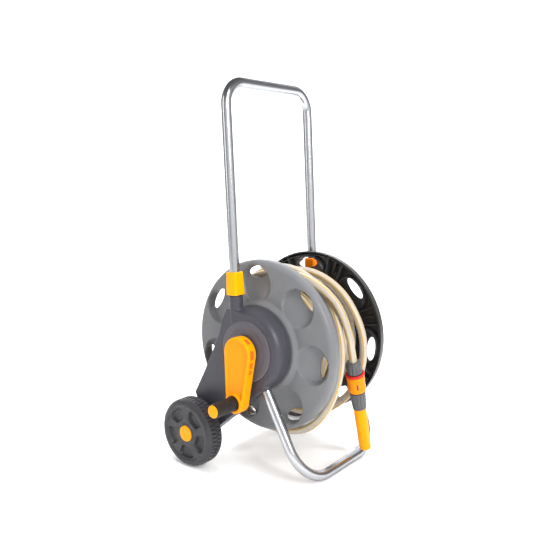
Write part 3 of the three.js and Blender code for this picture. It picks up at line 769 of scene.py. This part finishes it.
def side_frame(name, side):
    y = side * TUBE_OUT
    screw = foot_at(66, 0)
    skin = combined("skin", [
        extruded(FRAME_OUTLINE, side * FRAME_BACK, side * FRAME_FACE),
        lathe_at(side, 0, DRUM_Z, hub_outline(HUB_R, HUB_BASE, FRAME_FACE)),
    ], [])
    hollow = combined("hollow", [
        extruded(inset(FRAME_OUTLINE, WALL), side * (HUB_BASE - 2), side * (FRAME_FACE - WALL)),
        lathe_at(side, 0, DRUM_Z, hub_outline(HUB_R - WALL, HUB_BASE - 2, FRAME_FACE - WALL)),
    ], [])
    # Added: a ring for the bush, sockets for the two tubes, and the axle's boss.
    # Cut: the tubes' bores, the axle's hole, the hub's hole, the cover's seat and a screw's hole.
    shell = combined(f"{name}_frame_shell", [
        combined("shell", [skin], [hollow]),
        lathe_at(side, 0, DRUM_Z, [(28.3, 118), (33, 118), (33, FRAME_FACE - 2), (28.3, FRAME_FACE - 2)]),
        rod(handle_at(296, y), handle_at(392.3, y), 15.0),
        rod(foot_at(44, y), foot_at(HUB_R + 3, y), 14.2),
        bar_out(side, WHEEL_X, WHEEL_R, FRAME_BACK, 169, 16),
    ], [
        rod(handle_at(155, y), handle_at(400, y), TUBE_R + 0.6),
        rod(foot_at(45.5, y), foot_at(136, y), TUBE_R + 0.6),
        bar_out(side, WHEEL_X, WHEEL_R, FRAME_BACK - 1, 176, 8.6),
        bar_out(side, 0, DRUM_Z, FRAME_FACE - 5, FRAME_FACE + 1, HUB_HOLES[name] + 0.4),
        lathe_at(side, 0, DRUM_Z, [
            (0, COVER_IN - 0.3), (COVER_R + 0.5, COVER_IN - 0.3), (COVER_R + 0.5, 156), (0, 156),
        ]),
        bar_out(side, screw.x, screw.z, FRAME_BACK, TUBE_OUT, 2.6),
    ])
    moulded(shell, 1.4, 3, "frame", CHARCOAL, (f"{name}_side_frame",))


def hub_cover(name, side):
    hole = HUB_HOLES[name]
    outline = rounded([
        (hole, COVER_IN), (COVER_R, COVER_IN), (COVER_R, 155.4, 0.6), (64.5, 157.2, 1.5), (50, 157.4, 2),
        (48.5, 156.6, 1), (47, 157.4, 1), (hole, 157.8, 0.6),
    ])
    points, faces = lathe_at(side, 0, DRUM_Z, outline, 144)
    piece(f"{name}_hub_disc", points, faces, "frame", "cover_plastic", COVER,
          (f"{name}_hub_cover",), sharp=30)


def rounded_square(half, corner, steps=8):
    ring = []
    for quarter in range(4):
        for step in range(steps + 1):
            turn = math.pi / 2 * (quarter + step / steps)
            mid = math.pi / 2 * (quarter + 0.5)
            centre_x = math.copysign(half - corner, math.cos(mid))
            centre_y = math.copysign(half - corner, math.sin(mid))
            ring.append((centre_x + corner * math.cos(turn), centre_y + corner * math.sin(turn)))
    return ring


def collar(name, side):
    low, height, half = 393.5, 50.0, 15.5
    foot = handle_at(low, side * TUBE_OUT)
    across = Vector((SLIDE.z, 0, -SLIDE.x))

    def ring(up, grow, radius):
        taper = 1 - 0.09 * up / height
        shape = rounded_square((half + grow) * taper, radius)
        return [foot + SLIDE * up + across * a + Vector((0, b, 0)) for a, b in shape]

    rings = [
        ring(0, -1.6, 4), ring(0.5, -0.6, 5), ring(1.6, 0, 5.5), ring(height - 2, 0, 5.5),
        ring(height - 0.7, -0.7, 5), ring(height, -1.9, 4),
    ]
    y = side * TUBE_OUT
    bore = rod(handle_at(low - 20, y), handle_at(low + height + 20, y), TUBE_R + 0.35, 64)
    block = combined(f"{name}_collar_block", [loft(rings)], [bore])
    # The far collar takes the redder copy of the collar colour: painted shade.
    moulded(block, 0.7, 2, "frame", COLLAR if side < 0 else COLLAR_PAINTED_SHADE, (f"{name}_collar",))


for name, side in SIDES:
    side_frame(name, side)
    hub_cover(name, side)
    collar(name, side)


# ---------- drum ----------

FLANGE_FACE = 106.0
FLANGE_MIDDLE = 113.0
SKIRT_END = 84.0
FLANGE_R = 190.0
FLANGE_WALL = 3.0
RIM_ROUND = 12.0
SCOOPS = 7
SCOOP_TURN = -6.0  # degrees of the first scoop from straight up
SCOOP_AT_R = 138.5
SCOOP_R = 42.0
SCOOP_DEPTH = 20.0
SLOT_AT_R = 163.5
SLOT_HALF = (12.5, 28)  # away from the axis, and round it
RIB_ROOT = 103.4
RIB_ROOT_AT_RIM = 96.5
RIM_FROM = 177  # from here out a rib's root follows the rounded rim


def flange_rows(inner):
    """(radius, out) from the hub to the skirt's end, with the same count for both skins."""
    wall = FLANGE_WALL if inner else 0.0
    rows = [(r, FLANGE_MIDDLE - wall) for r in np.linspace(24, 92, 8)]
    step_down = FLANGE_MIDDLE - FLANGE_FACE
    for t in np.linspace(0, 1, 8):
        rows.append((93 + 12 * t, FLANGE_MIDDLE - wall - step_down * float(smoothstep(t))))
    rows += [(r, FLANGE_FACE - wall) for r in np.linspace(106.5, 176.5, 54)]
    for turn in math.pi / 2 * np.linspace(0, 1, 12):
        rows.append((FLANGE_R - RIM_ROUND + (RIM_ROUND - wall) * math.sin(turn),
                     FLANGE_FACE - RIM_ROUND + (RIM_ROUND - wall) * math.cos(turn)))
    rows += [(FLANGE_R - wall, out) for out in np.linspace(92.5, SKIRT_END, 6)]
    return np.array(rows)


def flange_skin(inner, turn):
    """One skin's vertices, with their places against the nearest scoop's slot."""
    rows = flange_rows(inner)
    r = np.repeat(rows[:, :1], len(turn), 1)
    out = np.repeat(rows[:, 1:], len(turn), 1)
    pitch = 2 * math.pi / SCOOPS
    away = (turn - math.radians(SCOOP_TURN) + pitch / 2) % pitch - pitch / 2
    u = r * np.cos(away) - SCOOP_AT_R
    v = r * np.sin(away)
    radius = SCOOP_R + (FLANGE_WALL if inner else 0)
    wall = smoothstep((radius - np.hypot(u, v)) / 4.5)
    floor = SCOOP_DEPTH * np.clip((u + SCOOP_R) / (2 * SCOOP_R), 0, 1.05)
    out = out - floor * wall
    # The see-through slot's edge is where oval is 1.
    slot_u = u - (SLOT_AT_R - SCOOP_AT_R)
    oval = np.hypot(slot_u / SLOT_HALF[0], v / SLOT_HALF[1])
    return r, out, oval, slot_u, v, away


def flange_faces(keep, rows, count):
    """Quads of both skins, with walls between the skins round each slot and at both rims."""
    size = rows * count
    faces = []
    for i in range(rows - 1):
        for k in range(count):
            if not keep[i, k]:
                continue
            m = (k + 1) % count
            a, b, c, d = i * count + k, i * count + m, (i + 1) * count + m, (i + 1) * count + k
            faces.append((a, b, c, d))
            faces.append((a + size, d + size, c + size, b + size))
            sides = (((a, b), i - 1, k), ((c, d), i + 1, k), ((b, c), i, m), ((d, a), i, k - 1))
            for (p, q), row, column in sides:
                if 0 < row < rows - 1 and not keep[row, column % count]:
                    faces.append((p, q, q + size, p + size))
    last = (rows - 1) * count
    for k in range(count):
        m = (k + 1) % count
        faces.append((last + k, last + m, last + m + size, last + k + size))
        faces.append((k, m, m + size, k + size))
    return faces


def flange(name, side, material):
    per_scoop = 64
    count = SCOOPS * per_scoop
    turn = np.linspace(0, 2 * math.pi, count, endpoint=False)
    skins = []
    keep = None
    for inner in (False, True):
        r, out, oval, slot_u, v, away = flange_skin(inner, turn)
        if keep is None:
            inside = oval < 1
            next_turn = np.roll(inside, -1, 1)
            keep = ~(inside[:-1] | inside[1:] | next_turn[:-1] | next_turn[1:])
        # The corners of left-out quads that are outside the slot are drawn onto its edge.
        edge = np.zeros_like(inside)
        dropped = ~keep
        for row in (0, 1):
            for column in (0, 1):
                touched = np.roll(dropped, column, 1)
                edge[row:row + dropped.shape[0]] |= touched
        edge &= ~inside
        pull = np.where(edge, 1 / np.maximum(oval, 1e-6), 1)
        new_u = slot_u * pull + SLOT_AT_R
        new_v = v * pull
        new_r = np.where(edge, np.hypot(new_u, new_v), r)
        new_turn = turn + np.where(edge, np.arctan2(new_v, new_u) - away, 0)
        skins.append(np.stack([new_r * np.sin(new_turn), side * out, new_r * np.cos(new_turn)], 2))
    rows = skins[0].shape[0]
    points = [(x, y, z + DRUM_Z) for skin in skins for x, y, z in skin.reshape(-1, 3)]
    slot = f"{name}_flange_plastic"
    piece(f"{name}_flange_disc", points, flange_faces(keep, rows, count), "reel", slot, material,
          (f"{name}_flange",), sharp=32)
    boss = rounded([(10.3, 110), (10.3, 129, 0.6), (24, 129, 0.8), (24, 112), (26, 110)])
    points, faces = lathe_at(side, 0, DRUM_Z, boss, 64)
    piece(f"{name}_flange_boss", points, faces, "reel", slot, material)
    flange_ribs(name, side, slot, material)


def flange_ribs(name, side, slot, material):
    """Radial ribs between the scoops, and ring ribs, on the flange's inner face."""
    points, faces = [], []
    for scoop in range(SCOOPS):
        middle = SCOOP_TURN + (scoop + 0.5) * 360 / SCOOPS
        for turn_by, low, high, tall in (
            (-6.5, 126, 187.2, 15), (6.5, 126, 187.2, 15), (-4.5, 98, 128, 11), (4.5, 98, 128, 11),
            (0, 152, 187, 12),
        ):
            add_rib(points, faces, side, middle + turn_by, low, high, tall)
    for r, root, tip in ((98, 108.5, 94), (126, 103.2, 92), (181, 101, 90)):
        ring, quads = lathe_at(side, 0, DRUM_Z, rounded([
            (r - 1.3, root), (r - 1.0, tip, 0.6), (r + 1.0, tip, 0.6), (r + 1.3, root),
        ]), 168)
        kept = [face for face in quads if r != 126 or not near_scoop(ring[face[0]])]
        faces += [tuple(i + len(points) for i in face) for face in kept]
        points += ring
    piece(f"{name}_flange_ribs", points, faces, "reel", slot, material, sharp=30)


def near_scoop(point):
    """Whether a point is at a scoop, where the middle ring rib is left open."""
    turn = math.degrees(math.atan2(point[0], point[2] - DRUM_Z)) - SCOOP_TURN
    away = (turn + 180 / SCOOPS) % (360 / SCOOPS) - 180 / SCOOPS
    return abs(away) < 18.5


def add_rib(points, faces, side, degrees, low, high, tall):
    """A thin radial rib on the flange's inner face, with softened top edges."""
    turn = math.radians(degrees)
    section = [(-1.4, 0), (-1.1, tall - 0.6), (-0.5, tall), (0.5, tall), (1.1, tall - 0.6), (1.4, 0)]
    stations = [(low, RIB_ROOT), (min(high, RIM_FROM), RIB_ROOT)]
    if high > RIM_FROM:
        stations.append((high, RIB_ROOT_AT_RIM))
    start, count = len(points), len(section)
    for r, root in stations:
        for across, height in section:
            x = r * math.sin(turn) + across * math.cos(turn)
            z = r * math.cos(turn) - across * math.sin(turn)
            points.append((x, side * (RIB_ROOT - height if height else root), z + DRUM_Z))
    for row in range(len(stations) - 1):
        at = start + row * count
        for i in range(count):
            j = (i + 1) % count
            faces.append((at + i, at + j, at + count + j, at + count + i))
    faces.append(tuple(start + i for i in range(count)))
    faces.append(tuple(start + (len(stations) - 1) * count + i for i in range(count)))


flange("left", -1, GREY)
# The far flange and its ribs are painted dark: painted shade on the same grey plastic as the near flange.
flange("right", 1, FAR_FLANGE_SHADED)


def around(name, outline, count, body, slot, material, stands_for, side=1, x=0, z=DRUM_Z, sharp=35):
    points, faces = lathe_at(side, x, z, outline, count)
    return piece(name, points, faces, body, slot, material, stands_for, sharp=sharp)


CORE_END = 109.7
around("drum_tube", rounded([
    (CORE_R - 3, -CORE_END), (CORE_R, -CORE_END, 0.6), (CORE_R, CORE_END, 0.6), (CORE_R - 3, CORE_END),
]), 96, "reel", "core_plastic", BLACK, ("drum_core",))


# ---------- crank ----------

CRANK_IN = 162.0
CRANK_FACE = 186.5
CRANK_TOP_R = 35.5
CRANK_LOW_R = 23.5
CRANK_LEAN = math.asin((CRANK_TOP_R - CRANK_LOW_R) / math.hypot(GRIP_X, GRIP_DROP))
CRANK_TILT = math.atan2(-GRIP_X, GRIP_DROP)
CRANK_SLOT_OUT = (CRANK_IN + CRANK_FACE) / 2 - 0.5
SQUARE_HALF = 6.8  # of the hole for the shaft's end
GRIP_END = 248.0
# Slots in the crank's edge: turn from straight up, middle (x, up), length along the edge, width.
CRANK_SLOTS = [
    (37, 21.4, 28.4, 12, 9), (88, 35.5, 1.2, 18, 11), (100.8, 32.1, -21.4, 12, 9), (100.8, 29.1, -37.1, 9, 7),
]


def crank_ring(grow, out, count=140):
    """The crank's outline: a big round end on the drum's axis and a smaller one round the grip."""
    right = -CRANK_LEAN - CRANK_TILT
    left = math.pi + CRANK_LEAN - CRANK_TILT
    ring = []
    half = count // 2
    for x, z, r, start, end in (
        (0, DRUM_Z, CRANK_TOP_R + grow, right, left),
        (GRIP_X, GRIP_Z, CRANK_LOW_R + grow, left, right + 2 * math.pi),
    ):
        for turn in np.linspace(start, end, half):
            ring.append((x + r * math.cos(turn), -out, z + r * math.sin(turn)))
    return ring


def crank_slot(degrees, x, up, long, wide, deep):
    middle = Vector((x, -CRANK_SLOT_OUT, DRUM_Z + up))
    turn = math.radians(degrees)
    along = Vector((math.cos(turn), 0, -math.sin(turn)))
    outward = Vector((math.sin(turn), 0, math.cos(turn)))
    rings = []
    for height in (-deep, 4):
        rings.append([
            middle + along * (a * long / 2) + Vector((0, b * wide / 2, 0)) + outward * height
            for a, b in ((-1, -1), (1, -1), (1, 1), (-1, 1))
        ])
    return loft(rings)


def crank():
    arm = loft([
        crank_ring(-1.4, CRANK_IN), crank_ring(-0.4, CRANK_IN + 0.5), crank_ring(0, CRANK_IN + 1.8),
        crank_ring(0, CRANK_FACE - 4), crank_ring(-0.7, CRANK_FACE - 1.6), crank_ring(-2.2, CRANK_FACE - 0.3),
        crank_ring(-3.2, CRANK_FACE),
    ])
    recess = loft([
        crank_ring(-7.8, CRANK_FACE - 2.6), crank_ring(-6.4, CRANK_FACE - 1.6),
        crank_ring(-5.4, CRANK_FACE + 1),
    ])
    adds = [
        combined("arm", [arm], [recess]),
        lathe_at(-1, 0, DRUM_Z, [(0, 158.5), (14, 158.5), (14, 170), (0, 170)], 64),
        lathe_at(-1, GRIP_X, GRIP_Z, [(0, 180), (22.6, 180), (22.2, 187.4), (20, 189), (0, 189)], 96),
    ]
    cuts = [
        lathe_at(-1, GRIP_X, GRIP_Z, [(0, 183.6), (16.9, 183.6), (16.9, 192), (0, 192)], 96),
        lathe_at(-1, GRIP_X, GRIP_Z, [(0, 160), (4.4, 160), (4.4, 190), (0, 190)], 48),
        extruded([
            (a * SQUARE_HALF, DRUM_Z + b * SQUARE_HALF) for a, b in ((-1, -1), (1, -1), (1, 1), (-1, 1))
        ], -178.6, -157),
    ]
    cuts += [crank_slot(*slot, 2.6) for slot in CRANK_SLOTS]
    made = combined("crank_lever", adds, cuts)
    moulded(made, 0.75, 3, "reel", CRANK, ("crank_arm",))
    # The faces inside each slot get the darker red, painted shade in the recess.
    made.data.materials.append(CRANK_SLOT)
    count = len(made.data.polygons)
    middles = np.empty(count * 3)
    made.data.polygons.foreach_get("center", middles)
    middles = (middles.reshape(-1, 3) - np.array(AXIS)) / MM
    index = np.zeros(count, int)
    for degrees, x, up, long, wide in CRANK_SLOTS:
        turn = math.radians(degrees)
        across = (middles[:, 0] - x) * math.cos(turn) - (middles[:, 2] - up) * math.sin(turn)
        height = (middles[:, 0] - x) * math.sin(turn) + (middles[:, 2] - up) * math.cos(turn)
        sideways = middles[:, 1] + CRANK_SLOT_OUT
        inside = (np.abs(across) < long / 2 + 0.4) & (np.abs(sideways) < wide / 2 + 0.4)
        index[inside & (height < -0.5) & (height > -6)] = 1
    made.data.polygons.foreach_set("material_index", index)


crank()


def grip():
    rows = resampled(rounded([
        (4.35, 184.2), (15.0, 184.2, 1), (15.5, 188, 1), (15.1, 216, 12), (15.5, GRIP_END - 4, 3),
        (14.6, GRIP_END, 1.2), (13.8, GRIP_END), (13.8, GRIP_END - 2.5), (8.6, GRIP_END - 2.5),
        (8.6, GRIP_END - 9.5), (4.35, GRIP_END - 9.5),
    ]), 1.0)
    points, faces = revolve(rows, 120, ribs(20, 0.35, 193, GRIP_END - 8, 3, 14))
    points = [(x + GRIP_X, -y, z + GRIP_Z) for x, y, z in points]
    piece("grip_sleeve", points, faces, "grip", "grip_plastic", GRIP, ("crank_grip",))
    around("grip_end_cap", rounded([
        (0, GRIP_END - 2.1), (13.5, GRIP_END - 2.1), (13.5, GRIP_END + 1.4, 1.4), (10, GRIP_END + 2.9, 3),
        (0, GRIP_END + 3),
    ]), 72, "grip", "cap_plastic", CAP, ("grip_cap",), -1, GRIP_X, GRIP_Z)


grip()


# ---------- wheels ----------

WHEEL_OUT = 209  # the outer face is outside this, the tread inside
TREAD_MIDDLE = 189
TREAD_BLOCKS = 52


def wheel_lift(r, y, turn):
    """Five kidney pockets in the outer face and blocks round the tread."""
    out = np.abs(y)
    pitch = 2 * math.pi / 5
    away = turn % pitch - pitch / 2
    face = (out > WHEEL_OUT) & (r > 26) & (r < 60)
    edge_r = np.minimum(r - 30, 58 - r)
    edge_t = (math.radians(25) - np.abs(away)) * r
    soft = 9.0
    corner = np.where(
        (edge_r < soft) & (edge_t < soft),
        soft - np.hypot(soft - edge_r, soft - edge_t), np.minimum(edge_r, edge_t))
    lift = -6.5 * smoothstep(corner / 3.0) * face
    tread = (r > 73.5) & (out < WHEEL_OUT)
    row = np.where(out < TREAD_MIDDLE, 0, 1)
    blocks = (turn * TREAD_BLOCKS / (2 * math.pi) + row * 0.5 + (out - TREAD_MIDDLE) * 0.01) % 1
    gap = smoothstep((0.15 - np.minimum(blocks, 1 - blocks)) / 0.05)
    middle = smoothstep((1.7 - np.abs(out - TREAD_MIDDLE)) / 0.8)
    band = fade(out, 174.5, 203.5, 1.5)
    return lift - 2.6 * np.maximum(gap, middle) * tread * band


def wheels():
    longest = 1.2
    outline = resampled(rounded([
        (8.35, 171), (18, 171, 1.5), (19, 186, 3), (58, 188, 3), (66, 171.5, 3), (74, 171.5, 2),
        (WHEEL_R, 175.5, 3), (WHEEL_R, 202.5, 5), (75, 208.6, 5), (70, 213.2, 4), (64.5, 213.9, 2),
        (61.5, 213, 1.5), (60, 210.6, 2), (24, 210.4, 3), (21.5, 211.4, 1.2), (18.9, 211.4, 0.6),
        (18.9, 206), (8.35, 206),
    ], 5), longest)
    for name, side in SIDES:
        points, faces = revolve(outline, 400, wheel_lift)
        points = [(x + WHEEL_X, side * y, z + WHEEL_R) for x, y, z in points]
        piece(f"{name}_wheel_disc", points, faces, f"{name}_wheel", "wheel_plastic", WHEEL,
              (f"{name}_wheel",), sharp=40)
        around(f"{name}_wheel_cap", rounded([
            (0, 209), (18.4, 209), (18.4, 212.4, 1.4), (16.4, 213.8, 1.2), (6, 213.9, 2), (4, 213.2, 1),
            (0, 213.2),
        ]), 72, f"{name}_wheel", "cap_plastic", CAP, (f"{name}_hub_cap",), side, WHEEL_X, WHEEL_R)


wheels()


# ---------- water inlet ----------

def inlet():
    y = 173.0
    adds = [
        lathe_at(1, 0, DRUM_Z, rounded([(0, 141), (17, 141, 0.8), (17, 184, 3), (0, 186)]), 64),
        rod(polar(180, 0, y), polar(180, 52, y), 9),
        rod(polar(180, 34, y), polar(180, 40, y), 13),
        rod(polar(180, 44, y), polar(180, 47, y), 10),
    ]
    cuts = [
        lathe_at(1, 0, DRUM_Z, [(0, 139), (10.3, 139), (10.3, 161), (6, 162), (6, 180), (0, 180)], 64),
        rod(polar(180, 0, y), polar(180, 60, y), 5.5),
    ]
    body = combined("inlet_elbow_body", adds, cuts)
    moulded(body, 0.8, 2, "frame", CAP, ("inlet_elbow",))


inlet()


# ---------- CAD nodes that keep their shape ----------

KEPT = {
    "left_bush": BLACK, "right_bush": BLACK, "left_foot_screw": STEEL, "right_foot_screw": STEEL,
    "left_handle_plug": BLACK, "right_handle_plug": BLACK, "left_axle_clip": STEEL, "right_axle_clip": STEEL,
    "drive_shaft": STEEL, "water_spindle": BLACK, "inner_hose_nut": NUT_GREY, "inlet_seal": SEAL,
    "grip_pin": STEEL,
}
for kept, material in KEPT.items():
    data = frame["nodes"][kept].data
    data.materials.clear()
    data.materials.append(material)


# ---------- floor, light ----------

def studio():
    scene = bpy.context.scene
    scene.view_settings.view_transform = "Standard"
    world = bpy.data.worlds.new("studio")
    scene.world = world
    world.use_nodes = True
    tree = world.node_tree
    way = node(tree, "ShaderNodeTexCoord").outputs["Generated"]
    height = node(tree, "ShaderNodeSeparateXYZ", {"Vector": way}).outputs["Z"]
    sky = ramp(tree, height, [(0.0, (0.44,)), (0.15, (0.34,)), (0.9, (0.18,))])
    # The room is brighter low down on the key lamp's side.
    side = node(tree, "ShaderNodeVectorMath", {
        0: way, 1: (0.93, -0.37, 0),
    }, operation="DOT_PRODUCT").outputs["Value"]
    wall = ramp(tree, side, [(0.35, (0.0,)), (0.8, (0.75,))])
    low = ramp(tree, height, [(0.25, (1.0,)), (0.6, (0.0,))])
    wall = node(tree, "ShaderNodeMath", {0: wall, 1: low}, operation="MULTIPLY").outputs["Value"]
    both = node(tree, "ShaderNodeMath", {0: sky, 1: wall}, operation="ADD").outputs["Value"]
    feed(tree.nodes["Background"], {"Color": both})

    # The paper runs back from the cart and curves up behind it.
    flat, back, bend = -5.0, 2.6, 1.6
    profile = [(flat, 0.0), (back, 0.0)]
    for t in np.linspace(0.1, math.pi / 2, 14):
        profile.append((back + bend * math.sin(t), bend - bend * math.cos(t)))
    profile += [(back + bend, 6.0)]
    away = Vector((-0.625, 0.781, 0))
    across = Vector((0.781, 0.625, 0))
    points = [away * a + across * s * 7 + Vector((0, 0, b - 0.0005)) for a, b in profile for s in (-1, 1)]
    faces = [(2 * i, 2 * i + 1, 2 * i + 3, 2 * i + 2) for i in range(len(profile) - 1)]
    paper = bpy.data.meshes.new("paper")
    paper.from_pydata(points, [], faces)
    paper.polygons.foreach_set("use_smooth", [True] * len(paper.polygons))
    floor = bpy.data.objects.new("paper", paper)
    scene.collection.objects.link(floor)
    # It glows a little, so that it stays nearly white.
    material, _, shader = surface("paper")
    feed(shader, {
        "Base Color": (0.93, 0.93, 0.93, 1), "Roughness": 0.95, "Specular IOR Level": 0.1,
        "Emission Color": (1, 1, 1, 1), "Emission Strength": 0.14,
    })
    paper.materials.append(material)

    def lamp(name, where, towards, size, power, seen_in_gloss=True):
        data = bpy.data.lights.new(name, "AREA")
        data.shape = "RECTANGLE"
        data.size, data.size_y = size
        data.energy = power
        made = bpy.data.objects.new(name, data)
        scene.collection.objects.link(made)
        made.location = where
        made.visible_glossy = seen_in_gloss
        made.rotation_euler = (Vector(towards) - made.location).to_track_quat("-Z", "Y").to_euler()

    middle = (0, 0, 0.35)
    lamp("key", (2.3, -0.9, 1.9), middle, (0.9, 1.8), 74)
    lamp("left", (-1.3, -2.4, 1.3), middle, (0.7, 2.0), 14)
    lamp("top", (-0.2, 0.3, 2.6), middle, (1.8, 1.8), 30, False)
    above, behind = away * 1.2 + Vector((0, 0, 3.4)), away * 4 + Vector((0, 0, 0.8))
    lamp("backdrop", above, behind, (4.0, 1.0), 240, False)
    lamp("ground", (0.4, -0.5, 3.6), (0.4, -0.5, 0), (3.0, 3.0), 60, False)


studio()
